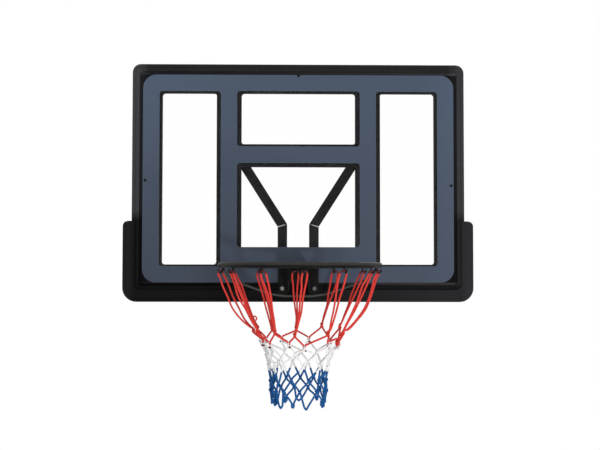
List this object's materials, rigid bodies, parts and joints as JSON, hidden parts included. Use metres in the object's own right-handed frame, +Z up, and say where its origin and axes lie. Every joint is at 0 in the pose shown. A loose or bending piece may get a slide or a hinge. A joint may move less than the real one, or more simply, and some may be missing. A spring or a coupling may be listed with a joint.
{
  "type": "basketball goal head",
  "caption": "Clear basketball board in a ribbed moulded frame with an edge bumper, bent angle hangers behind, and a fixed steel ring with a rod brace, wire hooks and a cord net.",
  "frame": {"origin": "on the flat post pad at the back of the frame, midway between the four rim bolts", "axes": "+Z up, +Y from the playing side to the post, +X to the right as seen from the playing side; the ring stands out along -Y"},
  "size_m": [1.099, 0.6294, 1.0417],
  "materials": {
    "frame_plastic": "black, fine grain",
    "clear_plastic": "clear sheet with a blue-grey print in bands",
    "bumper_plastic": "black, soft sheen",
    "screw_steel": "blackened",
    "painted_steel": "black powder coat",
    "zinc_steel": "bright zinc",
    "red_cord": "braided cord",
    "white_cord": "braided cord",
    "blue_cord": "braided cord"
  },
  "bodies": {
    "root": {"board_frame": "frame_plastic", "clear_sheet": "clear_plastic", "edge_bumper": "bumper_plastic", "sheet_screw_left": "screw_steel", "sheet_screw_right": "screw_steel", "sheet_screw_top": "screw_steel", "bumper_screw_1": "screw_steel", "bumper_screw_2": "screw_steel", "bumper_screw_3": "screw_steel", "bumper_screw_4": "screw_steel", "bumper_screw_5": "screw_steel", "bumper_screw_6": "screw_steel", "hanger_left": "painted_steel", "hanger_right": "painted_steel", "hanger_screw_1": "zinc_steel", "hanger_screw_2": "zinc_steel", "hanger_screw_3": "zinc_steel", "hanger_screw_4": "zinc_steel", "rim_ring": "painted_steel", "rim_bracket": "painted_steel", "rim_brace": "painted_steel", "net_hook_01": "painted_steel", "net_hook_02": "painted_steel", "net_hook_03": "painted_steel", "net_hook_04": "painted_steel", "net_hook_05": "painted_steel", "net_hook_06": "painted_steel", "net_hook_07": "painted_steel", "net_hook_08": "painted_steel", "net_hook_09": "painted_steel", "net_hook_10": "painted_steel", "net_hook_11": "painted_steel", "net_hook_12": "painted_steel", "rim_bolt_1": "zinc_steel", "rim_bolt_2": "zinc_steel", "rim_bolt_3": "zinc_steel", "rim_bolt_4": "zinc_steel", "rim_washer_1": "zinc_steel", "rim_washer_2": "zinc_steel", "rim_washer_3": "zinc_steel", "rim_washer_4": "zinc_steel", "rim_nut_1": "zinc_steel", "rim_nut_2": "zinc_steel", "rim_nut_3": "zinc_steel", "rim_nut_4": "zinc_steel", "net_red": "red_cord", "net_white": "white_cord", "net_blue": "blue_cord"}
  },
  "joints": []
}
